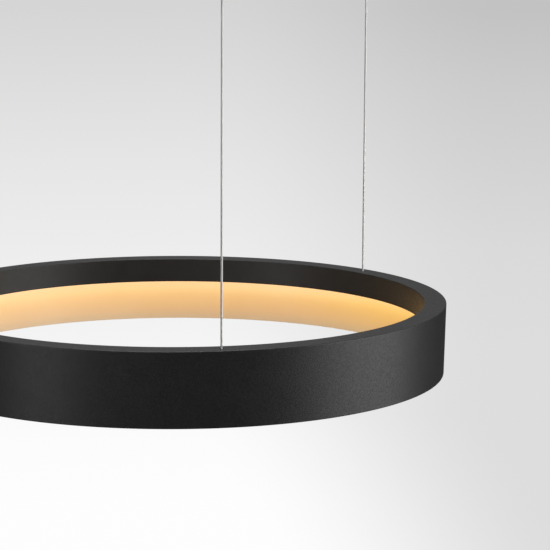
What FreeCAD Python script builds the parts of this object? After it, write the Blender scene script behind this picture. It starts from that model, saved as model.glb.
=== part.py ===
# LED ceiling chandelier: one black ring that hangs level on three upright wires and
# lights its own white inner face from a hidden channel under the rim.
# Millimetres, +Z up. The origin is on the ring's axis, in the plane of the ceiling.
import FreeCAD, Part
import math
import os

from FreeCAD import Vector

UP = Vector(0, 0, 1)

# Ring housing, a rolled profile: rim, long outer wall and short inner band
ring_outer_d = 400.0
foot_lean = 1.1
ring_height = 52.0
rim_width = 16.0
rim_t = 3.0
outer_wall_t = 2.8
band_height = 19.0
band_t = 2.0
ledge_t = 1.4
ledge_reach = 1.0
edge_round = 0.6

# White liner on the outer wall
liner_t = 0.8
glue_gap = 0.05

# Light source in the channel
channel_gap = 0.3
carrier_t = 1.4
strip_side_gap = 0.3
strip_t = 0.4
chip_count = 96
chip_length = 3.5
chip_width = 2.8
chip_t = 0.8
resistor_every = 4
resistor_length = 1.6
resistor_width = 0.9
resistor_t = 0.5
resistor_from_middle = 2.8
diffuser_t = 1.5
diffuser_wall_t = 1.0
seat_gap = 0.1

# Suspension: three wires on one circle
wire_count = 3
first_wire_deg = -90.0
wire_d = 1.5
wire_tail = 1.4
ring_drop = 280.0
sway_deg = 4.0
hole_spare = 0.15

# Wire anchors under the rim
anchor_height = 5.0
anchor_length = 24.0
end_ball_d = 4.0
end_ball_below_rim = 5.4
ball_running_gap = 0.05
wire_bore_gap = 0.02
end_ball_floor = 0.4

# Screws that hold the carrier to the anchors
carrier_screw_d = 2.5
carrier_screw_head_d = 4.7
carrier_screw_length = 4.4
carrier_screw_from_wire = 7.5
thread_gap = 0.03
screw_hole_gap = 0.15
socket_share = 0.45

# Ceiling fixing, one for each wire
base_d = 30.0
base_t = 4.0
ceiling_screw_hole_d = 4.5
ceiling_screw_head_d = 9.0
cap_wall_t = 1.4
cap_height = 16.0
cap_floor_t = 3.0
cap_fit_gap = 0.1
cap_to_ceiling = 0.2
grub_d = 3.0
grub_length = 2.4

# Wire gripper: ball head, barrel, ball cage, spring and release sleeve
head_ball_d = 13.0
head_running_gap = 0.08
head_above_pivot = 3.0
pivot_above_floor = 1.1
head_below_pivot = 4.6
barrel_d = 9.0
barrel_bore_d = 6.5
barrel_length = 24.5
barrel_chamfer = 0.8
head_stem_length = 4.0
wire_bore_d = 2.0
nose_bore_d = 4.4
nose_length = 4.6
cone_length = 7.4
grip_ball_d = 2.0
grip_ball_count = 3
cage_d = 4.7
cage_length = 6.4
cage_flange_d = 6.1
cage_flange_t = 0.8
sleeve_d = 4.2
sleeve_flange_d = 4.6
sleeve_flange_t = 0.8
release_travel = 2.5
release_stop_gap = 0.3
collar_d = 6.8
collar_t = 2.0
spring_wire_d = 0.5
spring_turns = 5
spring_side_gap = 0.2
spring_volume_share = 0.02

# Ceiling rose round the third fixing
rose_height = 30.0
rose_spare = 2.6
rose_wall_t = 1.5
rose_plate_t = 2.0
rose_plate_gap = 0.4
rose_plate_hole_gap = 0.5
rose_mouth_gap = 0.35
rose_hole_d = 4.5
rose_hole_spacing = 74.0
rose_hole_offset = -24.0
rose_tab_width = 12.0
rose_tab_height = 14.0
rose_tab_t = 3.0
side_screw_d = 3.0
side_screw_head_d = 5.6
side_screw_head_t = 1.6
side_screw_length = 4.6
side_screw_drop = 9.0

# Driver and terminal inside the rose
driver_width = 27.0
driver_length = 62.0
driver_height = 19.0
driver_wall_t = 1.2
driver_from_cap = 2.5
driver_board_t = 1.6
driver_board_gap = 0.3
driver_part_share = 0.6
lug_length = 7.0
lug_t = 2.0
lug_width = 9.0
lug_screw_d = 3.0
lug_screw_head_d = 5.6
lug_screw_head_t = 1.8
terminal_width = 14.0
terminal_length = 27.0
terminal_height = 15.0
terminal_poles = 3
terminal_from_cap = 8.0
terminal_screw_d = 3.2
terminal_screw_depth = 4.0
terminal_wire_hole_d = 3.0
entry_from_edge = 11.0
entry_turn_deg = 212.0
entry_hole_d = 8.0
entry_grommet_d = 12.0
entry_flange_d = 15.0
entry_flange_t = 1.2

# Cord glands, one in the rose and one in the rim: the cord itself is not part of the lamp
gland_turn_deg = 12.0
gland_bore_d = 3.2
gland_thread_d = 7.0
gland_body_d = 10.0
gland_body_height = 7.0
gland_dome_share = 0.35
gland_nut_d = 10.2
gland_nut_t = 2.4
gland_thread_spare = 0.8

# Feed terminal above the carrier
feed_block_turn_deg = 17.5
feed_block_length = 8.0
feed_block_width = 7.0
feed_block_height = 4.2
feed_pin_d = 0.9
feed_pin_spacing = 4.0
feed_pin_hole_gap = 0.3

overrun = 10.0

# Radii and levels that follow from the sizes above
ring_r = ring_outer_d / 2
rim_inner_r = ring_r - rim_width
foot_r = ring_r - foot_lean
skirt_inner_r = ring_r - outer_wall_t
wire_circle_r = ring_r - rim_width / 2
rim_z = -ring_drop
foot_z = rim_z - ring_height
channel_top_z = rim_z - rim_t
band_foot_z = rim_z - band_height
ledge_z = band_foot_z + ledge_t
band_outer_r = rim_inner_r + band_t
anchor_foot_z = channel_top_z - anchor_height
carrier_foot_z = anchor_foot_z - carrier_t
strip_foot_z = carrier_foot_z - strip_t
end_ball_z = rim_z - end_ball_below_rim
rim_hole_r = wire_d / 2 + end_ball_below_rim * math.tan(math.radians(sway_deg)) + hole_spare
channel_inner_r = band_outer_r + channel_gap
channel_outer_r = skirt_inner_r - channel_gap
channel_mid_r = (channel_inner_r + channel_outer_r) / 2
strip_inner_r = channel_inner_r + diffuser_wall_t + strip_side_gap
strip_outer_r = channel_outer_r - diffuser_wall_t - strip_side_gap
liner_outer_r = skirt_inner_r - glue_gap
diffuser_foot_z = ledge_z + seat_gap

# Ceiling fixing, its levels from the ceiling down
cap_d = base_d + 2 * (cap_fit_gap + cap_wall_t)
cap_foot_z = -cap_height
cap_floor_z = cap_foot_z + cap_floor_t
pivot_z = cap_floor_z + pivot_above_floor
head_top_z = pivot_z + head_above_pivot
barrel_top_z = pivot_z - head_below_pivot
barrel_foot_z = barrel_top_z - barrel_length
stem_foot_z = barrel_top_z - head_stem_length
nose_top_z = barrel_foot_z + nose_length
cone_top_z = nose_top_z + cone_length
cone_slope = (barrel_bore_d - nose_bore_d) / 2 / cone_length
grip_ball_r = grip_ball_d / 2
grip_ball_place_r = wire_d / 2 + wire_bore_gap + grip_ball_r
cone_reach = grip_ball_place_r + (grip_ball_r + wire_bore_gap) * math.hypot(1, cone_slope)
grip_ball_z = nose_top_z + (cone_reach - nose_bore_d / 2) / cone_slope
cage_foot_z = grip_ball_z - grip_ball_r - cage_flange_t
cage_top_z = cage_foot_z + cage_length
sleeve_top_z = cage_foot_z - seat_gap
collar_top_z = barrel_foot_z - release_travel - release_stop_gap

# Places round the ring
wire_azimuths = [first_wire_deg + 360 / wire_count * i for i in range(wire_count)]
rose_azimuth = wire_azimuths[-1]
gland_azimuth = rose_azimuth + gland_turn_deg
feed_azimuth = rose_azimuth + feed_block_turn_deg
carrier_screw_turn_deg = math.degrees(carrier_screw_from_wire / channel_mid_r)
carrier_screw_azimuths = [a + s * carrier_screw_turn_deg for a in wire_azimuths for s in (-1, 1)]
feed_pin_turn_deg = math.degrees(feed_pin_spacing / 2 / channel_mid_r)
feed_pin_azimuths = [feed_azimuth + s * feed_pin_turn_deg for s in (-1, 1)]
wire_foot_z = end_ball_z - end_ball_d / 2 + end_ball_floor
grub_tip_r = base_d / 2 - grub_length / 2

# Places inside the rose, from the wire's axis
driver_x = cap_d / 2 + rose_plate_hole_gap + driver_from_cap
lug_x = driver_x + lug_width / 2
lug_end_y = driver_length / 2 + lug_length
lug_screw_y = driver_length / 2 + lug_length / 2
rose_inner_r = math.hypot(driver_x + driver_width, driver_length / 2) + rose_spare
rose_r = rose_inner_r + rose_wall_t
plate_r = rose_inner_r - rose_plate_gap
entry_angle = math.radians(entry_turn_deg)
entry_place = Vector(math.cos(entry_angle), math.sin(entry_angle), 0) * (plate_r - entry_from_edge)
terminal_x = -cap_d / 2 - terminal_from_cap - terminal_width / 2
mouth_drop = pivot_z + rose_height
rose_mouth_r = barrel_d / 2 + mouth_drop * math.tan(math.radians(sway_deg)) + rose_mouth_gap
gland_angle = math.radians(gland_turn_deg)
gland_offset = Vector(wire_circle_r * (math.cos(gland_angle) - 1), wire_circle_r * math.sin(gland_angle), 0)

os.makedirs("parts", exist_ok=True)


def rod(d, z_low, z_high, x=0, y=0):
    """Upright round bar between two levels."""
    return Part.makeCylinder(d / 2, z_high - z_low, Vector(x, y, z_low))


def tube(d_out, d_in, z_low, z_high, x=0, y=0):
    """Upright tube between two levels."""
    return rod(d_out, z_low, z_high, x, y).cut(rod(d_in, z_low - overrun, z_high + overrun, x, y))


def block(x_low, x_high, y_low, y_high, z_low, z_high):
    """Box between two corners."""
    return Part.makeBox(x_high - x_low, y_high - y_low, z_high - z_low, Vector(x_low, y_low, z_low))


def turned(outline, sweep_deg=360.0):
    """Outline of radius and height pairs, turned about the upright axis from the XZ plane."""
    points = [Vector(r, 0, z) for r, z in outline]
    face = Part.Face(Part.makePolygon(points + points[:1]))
    return face.revolve(Vector(), UP, sweep_deg)


def ring_bar(r_in, r_out, z_low, z_high):
    """Flat ring of rectangular section."""
    return turned([(r_in, z_low), (r_out, z_low), (r_out, z_high), (r_in, z_high)])


def ring_piece(r_in, r_out, z_low, z_high, length):
    """Piece of a flat ring, centred on the X axis, with its length along the middle line."""
    span = math.degrees(length / ((r_in + r_out) / 2))
    piece = turned([(r_in, z_low), (r_out, z_low), (r_out, z_high), (r_in, z_high)], span)
    piece.rotate(Vector(), UP, -span / 2)
    return piece


def round_edges(shape, radius, wanted):
    """Fillet the circular edges whose (radius, level) pair is wanted."""
    edges = []
    for edge in shape.Edges:
        if edge.Curve.TypeId != "Part::GeomCircle":
            continue
        for r, z in wanted:
            if math.isclose(edge.Curve.Radius, r, rel_tol=1e-6) and math.isclose(
                edge.Curve.Center.z, z, rel_tol=1e-6
            ):
                edges.append(edge)
    return shape.makeFillet(radius, edges)


def turn(shape, degrees):
    """Copy of a shape, turned about the ring's axis."""
    copy = shape.copy()
    copy.rotate(Vector(), UP, degrees)
    return copy


def at_wire(shape, azimuth):
    """Copy of a shape made on the upright axis, moved out to the wire at an azimuth."""
    copy = shape.copy()
    copy.translate(Vector(wire_circle_r, 0, 0))
    return turn(copy, azimuth)


def save(name, *solids):
    """Write the solids of one sub-part."""
    for solid in solids:
        assert solid.isValid() and solid.Volume > 0, name
    shape = solids[0] if len(solids) == 1 else Part.makeCompound(list(solids))
    shape.exportStep(f"parts/{name}.step")


def one(shape):
    """The single solid that a boolean leaves."""
    assert len(shape.Solids) == 1
    return shape.Solids[0]


def countersink(d_hole, d_head, z_face, down):
    """Screw hole through a plate, with a 90 degree countersink at the face that looks down or up."""
    depth = (d_head - d_hole) / 2
    inward = 1 if down else -1
    hole = rod(d_hole, z_face - overrun, z_face + overrun)
    start = Vector(0, 0, z_face)
    cone = Part.makeCone(d_head / 2, d_hole / 2, depth, start, UP * inward)
    return hole.fuse(cone)


def make_ring_housing():
    """Rolled profile: the rim above, the long outer wall and the short inner band below it."""
    housing = turned([
        (foot_r, foot_z),
        (ring_r, rim_z),
        (rim_inner_r, rim_z),
        (rim_inner_r, band_foot_z),
        (band_outer_r + ledge_reach, band_foot_z),
        (band_outer_r + ledge_reach, ledge_z),
        (band_outer_r, ledge_z),
        (band_outer_r, channel_top_z),
        (skirt_inner_r, channel_top_z),
        (skirt_inner_r, foot_z),
    ])
    housing = round_edges(housing, edge_round, [
        (ring_r, rim_z),
        (rim_inner_r, rim_z),
        (rim_inner_r, band_foot_z),
        (foot_r, foot_z),
    ])
    wire_hole = rod(2 * rim_hole_r, channel_top_z - overrun, rim_z + overrun)
    for azimuth in wire_azimuths:
        housing = housing.cut(at_wire(wire_hole, azimuth))
    gland_hole = rod(gland_thread_d + 2 * screw_hole_gap, channel_top_z - overrun, rim_z + overrun)
    return one(housing.cut(at_wire(gland_hole, gland_azimuth)))


def make_liner():
    """White strip against the inside of the outer wall: the face that is seen lit."""
    return ring_bar(liner_outer_r - liner_t, liner_outer_r, foot_z, ledge_z)


def make_carrier():
    """Flat aluminium ring that the light strip is glued under."""
    carrier = ring_bar(channel_inner_r, channel_outer_r, carrier_foot_z, anchor_foot_z)
    hole = countersink(
        carrier_screw_d + 2 * screw_hole_gap, carrier_screw_head_d, carrier_foot_z, down=True
    )
    for azimuth in carrier_screw_azimuths:
        carrier = carrier.cut(at_channel(hole, azimuth))
    for azimuth in feed_pin_azimuths:
        pin_hole = rod(feed_pin_d + 2 * feed_pin_hole_gap, foot_z, rim_z)
        carrier = carrier.cut(at_channel(pin_hole, azimuth))
    return one(carrier)


def at_channel(shape, azimuth):
    """Copy of a shape made on the upright axis, moved out to the middle of the channel."""
    copy = shape.copy()
    copy.translate(Vector(channel_mid_r, 0, 0))
    return turn(copy, azimuth)


def make_strip():
    """Flexible circuit strip in a ring."""
    return ring_bar(strip_inner_r, strip_outer_r, strip_foot_z, carrier_foot_z)


def make_chips():
    """Light-emitting chips, evenly round the strip."""
    chip = block(
        -chip_width / 2, chip_width / 2, -chip_length / 2, chip_length / 2,
        strip_foot_z - chip_t, strip_foot_z,
    )
    return [at_channel(chip, 360 / chip_count * (i + 0.5)) for i in range(chip_count)]


def make_resistors():
    """Resistors, one between every few chips."""
    resistor = block(
        -resistor_width / 2, resistor_width / 2, -resistor_length / 2, resistor_length / 2,
        strip_foot_z - resistor_t, strip_foot_z,
    )
    resistor.translate(Vector(resistor_from_middle, 0, 0))
    return [at_channel(resistor, 360 / chip_count * i) for i in range(0, chip_count, resistor_every)]


def make_diffuser():
    """Opal cover of U section: its floor closes the channel and its walls stand up to the carrier."""
    low, high = diffuser_foot_z, carrier_foot_z - seat_gap
    floor = low + diffuser_t
    inner, outer = channel_inner_r, channel_outer_r
    return turned([
        (inner, low),
        (outer, low),
        (outer, high),
        (outer - diffuser_wall_t, high),
        (outer - diffuser_wall_t, floor),
        (inner + diffuser_wall_t, floor),
        (inner + diffuser_wall_t, high),
        (inner, high),
    ])


def make_anchor():
    """Block under the rim with a ball seat for the wire's end, made at azimuth zero."""
    anchor = ring_piece(channel_inner_r, channel_outer_r, anchor_foot_z, channel_top_z, anchor_length)
    seat_r = end_ball_d / 2 + ball_running_gap
    seat = Part.makeSphere(seat_r, Vector(0, 0, end_ball_z))
    seat = seat.fuse(rod(2 * seat_r, anchor_foot_z - overrun, end_ball_z))
    seat = seat.fuse(rod(2 * rim_hole_r, end_ball_z, rim_z))
    seat.translate(Vector(wire_circle_r, 0, 0))
    anchor = anchor.cut(seat)
    tapped = rod(carrier_screw_d + 2 * thread_gap, anchor_foot_z - overrun,
                 carrier_foot_z + carrier_screw_length + end_ball_floor)
    for side in (-1, 1):
        anchor = anchor.cut(at_channel(tapped, side * carrier_screw_turn_deg))
    return one(anchor)


def make_carrier_screw():
    """Countersunk screw with a round socket, its head flush under the carrier."""
    depth = (carrier_screw_head_d - carrier_screw_d) / 2 - screw_hole_gap
    head_r = carrier_screw_head_d / 2 - screw_hole_gap
    cone = Part.makeCone(head_r, carrier_screw_d / 2, depth, Vector(0, 0, carrier_foot_z), UP)
    screw = cone.fuse(rod(carrier_screw_d, carrier_foot_z, carrier_foot_z + carrier_screw_length))
    socket = rod(carrier_screw_d * socket_share, carrier_foot_z - overrun, carrier_foot_z + depth)
    return one(screw.cut(socket))


def make_end_ball():
    """Steel ball swaged on the wire's lower end."""
    ball = Part.makeSphere(end_ball_d / 2, Vector(0, 0, end_ball_z))
    return one(ball.cut(rod(wire_d + 2 * wire_bore_gap, wire_foot_z, end_ball_z + overrun)))


def make_base():
    """Disc that one screw holds to the ceiling."""
    base = rod(base_d, -base_t, 0)
    base = base.cut(countersink(ceiling_screw_hole_d, ceiling_screw_head_d, -base_t, down=True))
    return one(base.cut(grub(grub_d + 2 * thread_gap, grub_tip_r, base_d / 2 + overrun)))


def grub(d, r_in, r_out):
    """Level round bar along X, at the height of the cap's grub screw."""
    return Part.makeCylinder(d / 2, r_out - r_in, Vector(r_in, 0, -base_t / 2 - seat_gap), Vector(1, 0, 0))


def make_cap():
    """Cup over the base, with a ball socket in its floor for the gripper's head."""
    cap = rod(cap_d, cap_foot_z, -cap_to_ceiling)
    cap = round_edges(cap, edge_round, [(cap_d / 2, cap_foot_z)])
    cap = cap.cut(rod(base_d + 2 * cap_fit_gap, cap_floor_z, overrun))
    cap = cap.cut(Part.makeSphere(head_ball_d / 2 + head_running_gap, Vector(0, 0, pivot_z)))
    return one(cap.cut(grub(grub_d + 2 * thread_gap, 0, cap_d)))


def make_grub_screw():
    """Headless screw that keeps the cap on the base."""
    screw = grub(grub_d, grub_tip_r, grub_tip_r + grub_length)
    socket = grub(grub_d * socket_share, grub_tip_r + grub_length / 2, base_d)
    return one(screw.cut(socket))


def make_head():
    """Ball head that hangs in the cap, with a stem that screws into the barrel."""
    ball = Part.makeSphere(head_ball_d / 2, Vector(0, 0, pivot_z))
    ball = ball.common(rod(2 * head_ball_d, barrel_top_z, head_top_z))
    head = ball.fuse(rod(barrel_bore_d - 2 * thread_gap, stem_foot_z, pivot_z))
    return one(head.cut(rod(wire_bore_d, stem_foot_z - overrun, head_top_z + overrun)))


def make_barrel():
    """Round body with a bore that narrows downward in a cone, and a nose for the release sleeve."""
    outer, bore, nose = barrel_d / 2, barrel_bore_d / 2, nose_bore_d / 2
    return turned([
        (nose, barrel_foot_z),
        (outer - barrel_chamfer, barrel_foot_z),
        (outer, barrel_foot_z + barrel_chamfer),
        (outer, barrel_top_z),
        (bore, barrel_top_z),
        (bore, cone_top_z),
        (nose, nose_top_z),
    ])


def grip_ball_places():
    """Centres of the balls round the wire."""
    step = 2 * math.pi / grip_ball_count
    return [
        Vector(grip_ball_place_r * math.cos(i * step), grip_ball_place_r * math.sin(i * step), grip_ball_z)
        for i in range(grip_ball_count)
    ]


def make_cage():
    """Sleeve with a flange for the spring and a side pocket for each ball."""
    cage = rod(cage_d, cage_foot_z, cage_top_z)
    cage = cage.fuse(rod(cage_flange_d, cage_top_z - cage_flange_t, cage_top_z))
    cage = cage.cut(rod(wire_bore_d, cage_foot_z - overrun, cage_top_z + overrun))
    pocket_r = grip_ball_r + wire_bore_gap
    for place in grip_ball_places():
        outward = Vector(place.x, place.y, 0)
        cage = cage.cut(Part.makeCylinder(pocket_r, cage_d, Vector(0, 0, grip_ball_z), outward))
    return one(cage)


def make_grip_balls():
    """Hard balls that the cone presses against the wire."""
    return [Part.makeSphere(grip_ball_r, place) for place in grip_ball_places()]


def make_release_sleeve():
    """Sleeve in the nose: pushed up, it lifts the cage and frees the wire."""
    sleeve = rod(sleeve_d, collar_top_z - collar_t, sleeve_top_z)
    sleeve = sleeve.fuse(rod(sleeve_flange_d, sleeve_top_z - sleeve_flange_t, sleeve_top_z))
    sleeve = sleeve.fuse(rod(collar_d, collar_top_z - collar_t, collar_top_z))
    bore = rod(wire_bore_d, collar_top_z - collar_t - overrun, sleeve_top_z + overrun)
    return one(sleeve.cut(bore))


def tangent_arc(start, corner, end):
    """Arc from start to end whose tangents there meet at the corner."""
    chord_middle = (start + end) * 0.5
    half_chord = (end - start).Length / 2
    height = (corner - chord_middle).Length
    half_turn = math.atan2(height, half_chord)
    top = chord_middle + (corner - chord_middle) * (math.tan(half_turn / 2) / math.tan(half_turn))
    return Part.Arc(start, top, end).toShape()


def helix_arcs(radius, low, high, turns):
    """Edges of a helix: each quarter turn is two arcs that share a tangent."""
    steps = 4 * turns
    rise_per_radian = (high - low) / (2 * math.pi * turns)
    edges = []
    for step in range(steps):
        points, tangents = [], []
        for angle in (math.pi / 2 * step, math.pi / 2 * (step + 1)):
            points.append(Vector(
                radius * math.cos(angle), radius * math.sin(angle), low + rise_per_radian * angle
            ))
            along = Vector(-radius * math.sin(angle), radius * math.cos(angle), rise_per_radian)
            tangents.append(along.normalize())
        span = points[1] - points[0]
        both = span.dot(tangents[0] + tangents[1])
        bend = 2 * (1 - tangents[0].dot(tangents[1]))
        reach = (math.sqrt(both**2 + bend * span.dot(span)) - both) / bend
        corners = (points[0] + tangents[0] * reach, points[1] - tangents[1] * reach)
        middle = (corners[0] + corners[1]) * 0.5
        edges.append(tangent_arc(points[0], corners[0], middle))
        edges.append(tangent_arc(middle, corners[1], points[1]))
    return edges


def make_spring():
    """Coil spring between the stem and the cage's flange, one pipe along a helix."""
    low = cage_top_z + seat_gap + spring_wire_d / 2
    high = stem_foot_z - seat_gap - spring_wire_d / 2
    mean_r = (barrel_bore_d - spring_wire_d) / 2 - spring_side_gap
    path = Part.Wire(helix_arcs(mean_r, low, high, spring_turns))
    section = Part.Wire(Part.makeCircle(spring_wire_d / 2, Vector(mean_r, 0, low), Vector(0, 1, 0)))
    spring = one(path.makePipeShell([section], True, False))
    expected = math.pi * (spring_wire_d / 2) ** 2 * path.Length
    assert math.isclose(spring.Volume, expected, rel_tol=spring_volume_share), "spring"
    return spring


def make_rose_plate():
    """Steel disc on the ceiling round the third fixing, with tabs for the cover's screws."""
    plate = rod(2 * plate_r, -rose_plate_t, 0)
    for side in (-1, 1):
        tab_y = side * (plate_r - rose_tab_t / 2)
        tab = block(
            -rose_tab_width / 2, rose_tab_width / 2, tab_y - rose_tab_t / 2, tab_y + rose_tab_t / 2,
            -rose_tab_height, -rose_plate_t / 2,
        )
        plate = plate.fuse(tab.common(rod(2 * plate_r, -rose_tab_height, 0)))
    plate = plate.cut(rod(cap_d + 2 * rose_plate_hole_gap, -overrun, overrun))
    plate = plate.cut(rod(entry_grommet_d, -overrun, overrun, entry_place.x, entry_place.y))
    for side in (-1, 1):
        hole = rod(rose_hole_d, -overrun, overrun, rose_hole_offset, side * rose_hole_spacing / 2)
        plate = plate.cut(hole)
        plate = plate.cut(side_hole(side_screw_d + 2 * thread_gap, side))
        lug_hole = rod(lug_screw_d + 2 * thread_gap, -overrun, overrun, lug_x, side * lug_screw_y)
        plate = plate.cut(lug_hole)
    return one(plate)


def side_hole(d, side):
    """Level bar along Y from the middle of the rose, at the height of the cover's screws."""
    start = Vector(0, 0, -side_screw_drop)
    return Part.makeCylinder(d / 2, rose_r + overrun, start, Vector(0, side, 0))


def make_rose_cover():
    """Cup that hides the driver, with a mouth for the gripper and a hole for the cord's gland."""
    foot = -rose_height
    cover = rod(2 * rose_r, foot, 0)
    cover = round_edges(cover, 2 * rose_wall_t, [(rose_r, foot)])
    hollow = rod(2 * rose_inner_r, foot + rose_wall_t, 0)
    hollow = round_edges(hollow, rose_wall_t, [(rose_inner_r, foot + rose_wall_t)])
    cover = cover.cut(hollow)
    cover = cover.cut(rod(2 * rose_mouth_r, foot - overrun, foot + overrun))
    gland_hole = rod(
        gland_thread_d + 2 * screw_hole_gap, foot - overrun, foot + overrun, gland_offset.x, gland_offset.y
    )
    cover = cover.cut(gland_hole)
    for side in (-1, 1):
        cover = cover.cut(side_hole(side_screw_d + 2 * screw_hole_gap, side))
    return one(cover)


def make_side_screw(side):
    """Pan-head screw through the cover's wall into a tab of the plate."""
    start = Vector(0, side * (rose_r - side_screw_length), -side_screw_drop)
    outward = Vector(0, side, 0)
    shank = Part.makeCylinder(side_screw_d / 2, side_screw_length, start, outward)
    face = Vector(0, side * rose_r, -side_screw_drop)
    head = Part.makeCylinder(side_screw_head_d / 2, side_screw_head_t, face, outward)
    socket = Part.makeCylinder(side_screw_d * socket_share, side_screw_head_t, face, outward)
    return one(shank.fuse(head).cut(socket))


def make_driver_case():
    """Open box of the driver, with a lug at each end under the plate."""
    case = driver_box(0, -rose_plate_t - driver_height, -rose_plate_t)
    case = case.cut(driver_box(driver_wall_t, -rose_plate_t - driver_height - overrun,
                               -rose_plate_t - driver_wall_t))
    for side in (-1, 1):
        ends = sorted((side * (driver_length / 2 - driver_wall_t / 2), side * lug_end_y))
        lug = block(lug_x - lug_width / 2, lug_x + lug_width / 2, ends[0], ends[1],
                    -rose_plate_t - lug_t, -rose_plate_t)
        lug = lug.cut(rod(lug_screw_d + 2 * screw_hole_gap, -overrun, overrun, lug_x, side * lug_screw_y))
        case = case.fuse(lug)
    return one(case)


def driver_box(inset, z_low, z_high):
    """Box on the driver's plan, drawn in by an inset on each side."""
    return block(
        driver_x + inset, driver_x + driver_width - inset,
        -driver_length / 2 + inset, driver_length / 2 - inset, z_low, z_high,
    )


def make_driver_lid():
    """Lid that closes the driver's box from below."""
    foot = -rose_plate_t - driver_height
    lid = driver_box(0, foot - driver_wall_t, foot)
    rim = driver_box(driver_wall_t + seat_gap, foot, foot + driver_wall_t)
    rim = rim.cut(driver_box(2 * driver_wall_t + seat_gap, foot, foot + driver_wall_t))
    return one(lid.fuse(rim))


def make_driver_board():
    """Circuit board inside the driver with a transformer and two capacitors."""
    roof = -rose_plate_t - driver_wall_t - driver_board_gap
    board = driver_box(driver_wall_t + driver_board_gap, roof - driver_board_t, roof)
    tall = (driver_height - 2 * driver_wall_t) * driver_part_share
    low = roof - driver_board_t - tall
    half = driver_width * driver_part_share / 2
    middle = driver_x + driver_width / 2
    board = board.fuse(block(middle - half, middle + half, -half, half, low, roof - driver_board_t))
    for side in (-1, 1):
        board = board.fuse(rod(half, low, roof - driver_board_t, middle, side * driver_length / 3))
    return one(board)


def make_lug_screw(side):
    """Pan-head screw through a lug of the driver into the plate."""
    top = -rose_plate_t - lug_t
    head = rod(lug_screw_head_d, top - lug_screw_head_t, top, lug_x, side * lug_screw_y)
    shank = rod(lug_screw_d, top, -seat_gap, lug_x, side * lug_screw_y)
    socket = rod(lug_screw_d * socket_share, top - lug_screw_head_t, top, lug_x, side * lug_screw_y)
    return one(head.fuse(shank).cut(socket))


def make_mains_terminal():
    """Terminal block under the plate: a screw well and a wire way for each pole."""
    x_high = -cap_d / 2 - terminal_from_cap
    foot = -rose_plate_t - terminal_height
    body = block(x_high - terminal_width, x_high, -terminal_length / 2, terminal_length / 2,
                 foot, -rose_plate_t)
    for pole in range(terminal_poles):
        y = terminal_length / terminal_poles * (pole - (terminal_poles - 1) / 2)
        way = Vector(x_high - terminal_width - overrun, y, -rose_plate_t - terminal_height / 2)
        body = body.cut(rod(terminal_screw_d + 2 * screw_hole_gap, foot - overrun,
                            foot + terminal_screw_depth, terminal_x, y))
        body = body.cut(Part.makeCylinder(terminal_wire_hole_d / 2, terminal_width + 2 * overrun,
                                          way, Vector(1, 0, 0)))
    return one(body)


def make_terminal_screws():
    """Slotted screws in the terminal's wells."""
    foot = -rose_plate_t - terminal_height
    screws = []
    for pole in range(terminal_poles):
        y = terminal_length / terminal_poles * (pole - (terminal_poles - 1) / 2)
        screw = rod(terminal_screw_d, foot + terminal_screw_depth / 4, foot + terminal_screw_depth,
                    terminal_x, y)
        slot_half = terminal_screw_d * socket_share / 4
        slot = block(terminal_x - terminal_screw_d, terminal_x + terminal_screw_d,
                     y - slot_half, y + slot_half,
                     foot - overrun, foot + terminal_screw_depth / 2)
        screws.append(one(screw.cut(slot)))
    return screws


def make_entry_grommet():
    """Soft ring in the plate's cable entry, with a flange under the plate."""
    body = tube(entry_grommet_d, entry_hole_d, -rose_plate_t, 0, entry_place.x, entry_place.y)
    flange = tube(entry_flange_d, entry_hole_d, -rose_plate_t - entry_flange_t, -rose_plate_t,
                  entry_place.x, entry_place.y)
    return one(body.fuse(flange))


def make_gland(wall_t, nut_side_z, body_side_z):
    """Cord gland: a domed body outside the wall and a thread through it to the nut."""
    away = 1 if body_side_z > nut_side_z else -1
    start = Vector(0, 0, body_side_z)
    body = Part.makeCylinder(gland_body_d / 2, gland_body_height, start, UP * away)
    end_z = body_side_z + away * gland_body_height
    body = round_edges(body, gland_body_height * gland_dome_share, [(gland_body_d / 2, end_z)])
    reach = wall_t + gland_nut_t + gland_thread_spare
    thread = Part.makeCylinder(gland_thread_d / 2, reach, start, UP * -away)
    gland = body.fuse(thread)
    bore_low = min(nut_side_z, body_side_z) - gland_body_height - overrun
    bore = rod(gland_bore_d, bore_low, bore_low + 2 * (gland_body_height + overrun) + reach)
    return one(gland.cut(bore))


def make_nut(z_low):
    """Round nut on the gland's thread."""
    return tube(gland_nut_d, gland_thread_d + 2 * thread_gap, z_low, z_low + gland_nut_t)


def make_feed_block():
    """Small terminal on the carrier that the cord's cores would enter, made at azimuth zero."""
    body = block(
        -feed_block_width / 2, feed_block_width / 2, -feed_block_length / 2, feed_block_length / 2,
        anchor_foot_z, anchor_foot_z + feed_block_height,
    )
    ways = feed_block_height / 2
    for side in (-1, 1):
        start = Vector(side * feed_block_width / 4, -feed_block_length, anchor_foot_z + ways)
        body = body.cut(Part.makeCylinder(ways / 2, 2 * feed_block_length, start, Vector(0, 1, 0)))
    return one(body)


# Ring
save("ring_housing", make_ring_housing())
save("reflector_liner", make_liner())
save("led_carrier", make_carrier())
save("led_strip", make_strip())
save("led_chips", *make_chips())
save("strip_resistors", *make_resistors())
save("diffuser", make_diffuser())
save("carrier_screws", *[at_channel(make_carrier_screw(), a) for a in carrier_screw_azimuths])
save("ring_gland", at_wire(make_gland(rim_t, channel_top_z, rim_z), gland_azimuth))
save("ring_gland_nut", at_wire(make_nut(channel_top_z - gland_nut_t), gland_azimuth))
save("feed_terminal", at_channel(make_feed_block(), feed_azimuth))
feed_pin = rod(feed_pin_d, carrier_foot_z, anchor_foot_z)
save("feed_pins", *[at_channel(feed_pin, a) for a in feed_pin_azimuths])

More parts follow.
